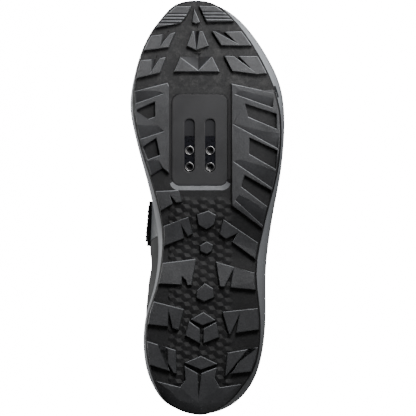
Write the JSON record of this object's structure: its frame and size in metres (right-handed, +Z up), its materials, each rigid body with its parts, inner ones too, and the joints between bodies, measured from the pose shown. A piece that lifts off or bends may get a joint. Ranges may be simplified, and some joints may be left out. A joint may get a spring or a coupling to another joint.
{
  "type": "cycling shoe",
  "caption": "Left mountain-touring cycling shoe lying on its outer side, with a lugged rubber sole, a slotted cleat bed and strap fastening.",
  "frame": {"origin": "centre of the overall box, on the floor that the shoe lies on", "axes": "+X towards the toe, -Y out of the tread, +Z up, away from the floor and towards the shoe's inner side"},
  "size_m": [0.281, 0.1218, 0.105],
  "materials": {
    "tread_rubber": "matt moulded black rubber, lightly stippled",
    "midsole_foam": "matt light blue-grey moulded foam",
    "plate_plastic": "smooth matt dark grey",
    "nut_steel": "plain machined steel",
    "upper_synthetic": "mid grey woven synthetic",
    "insole_fabric": "dark grey brushed fabric",
    "tongue_fabric": "black padded mesh",
    "strap_webbing": "black hook-and-loop strap",
    "loop_plastic": "black moulded plastic",
    "overlay_synthetic": "dark blue-grey synthetic leather"
  },
  "bodies": {
    "root": {"outsole": "tread_rubber", "midsole": "midsole_foam", "cleat_plate": "plate_plastic", "cleat_nut": "nut_steel", "upper": "upper_synthetic", "insole": "insole_fabric", "tongue": "tongue_fabric", "strap_instep": "strap_webbing", "strap_loop": "loop_plastic", "strap_middle": "strap_webbing", "strap_toe": "strap_webbing", "toe_cap": "overlay_synthetic", "heel_counter": "overlay_synthetic"}
  },
  "joints": []
}
